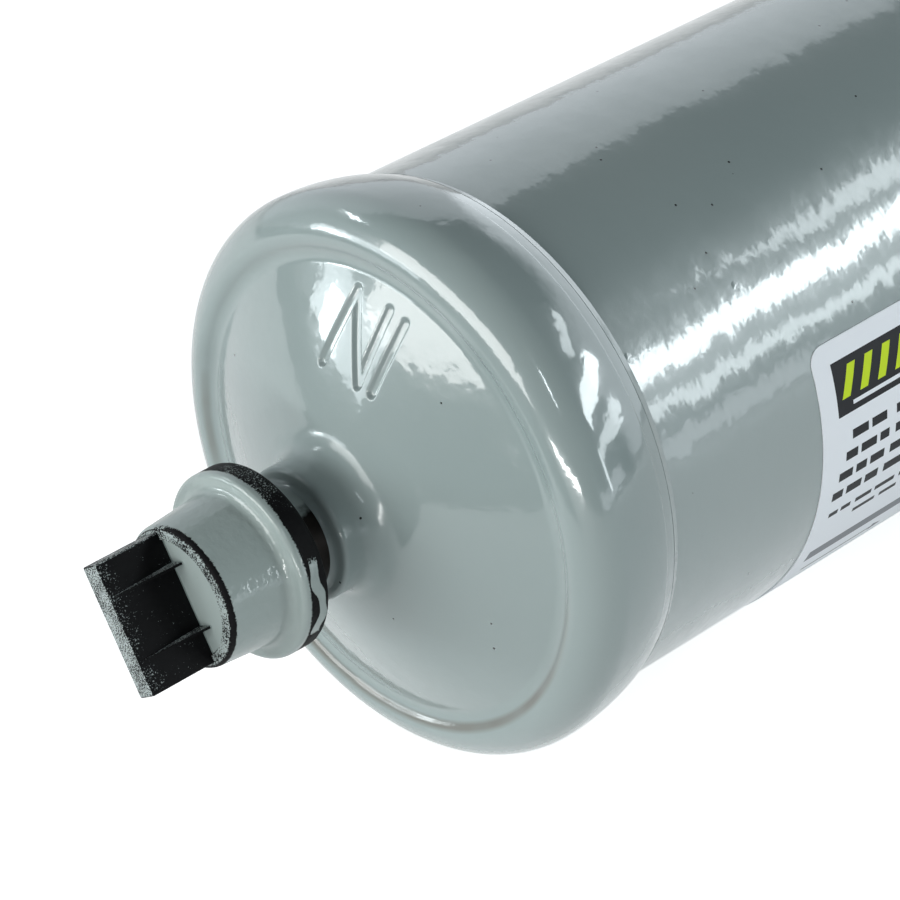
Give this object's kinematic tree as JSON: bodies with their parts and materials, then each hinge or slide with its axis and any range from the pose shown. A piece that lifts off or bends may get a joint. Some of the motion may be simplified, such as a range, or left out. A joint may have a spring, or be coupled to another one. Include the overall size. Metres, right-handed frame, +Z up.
{
  "type": "filter drier",
  "caption": "Liquid-line filter drier: grey steel canister with pressed end caps, copper solder sockets under rubber shipping caps, and a desiccant core inside.",
  "frame": {"origin": "on the axis of the canister, half way between its two seams", "axes": "+X along the axis in the direction of flow, from inlet to outlet; +Z up; the label is on the -Y side"},
  "size_m": [0.212, 0.0806, 0.0808],
  "materials": {
    "enamel": "gloss grey enamel",
    "copper": "bare copper, lightly tarnished",
    "cap_rubber": "black rubber oversprayed with grey enamel",
    "label_film": "white printed film",
    "plated_steel": "zinc-plated steel",
    "spring_steel": "spring steel wire",
    "felt": "polyester felt",
    "gasket_rubber": "black rubber",
    "desiccant": "moulded desiccant block, matt"
  },
  "bodies": {
    "canister": {"shell": "enamel", "inlet_end_cap": "enamel", "outlet_end_cap": "enamel", "inlet_seam_weld": "enamel", "outlet_seam_weld": "enamel", "inlet_fitting": "copper", "outlet_fitting": "copper", "inlet_braze_ring": "copper", "outlet_braze_ring": "copper", "label": "label_film", "core_spring": "spring_steel", "spring_plate": "plated_steel", "inlet_pad": "felt", "desiccant_core": "desiccant", "core_gasket": "gasket_rubber", "outlet_pad": "felt", "outlet_screen": "plated_steel", "outlet_plate": "plated_steel"},
    "inlet_cap": {"inlet_shipping_cap": "cap_rubber"},
    "outlet_cap": {"outlet_shipping_cap": "cap_rubber"}
  },
  "joints": [
    {"name": "inlet_cap_pull", "type": "slide", "parent": "canister", "child": "inlet_cap", "axis": [-1, 0, 0], "range_m": [0, 0.03]},
    {"name": "outlet_cap_pull", "type": "slide", "parent": "canister", "child": "outlet_cap", "axis": [1, 0, 0], "range_m": [0, 0.03]}
  ]
}
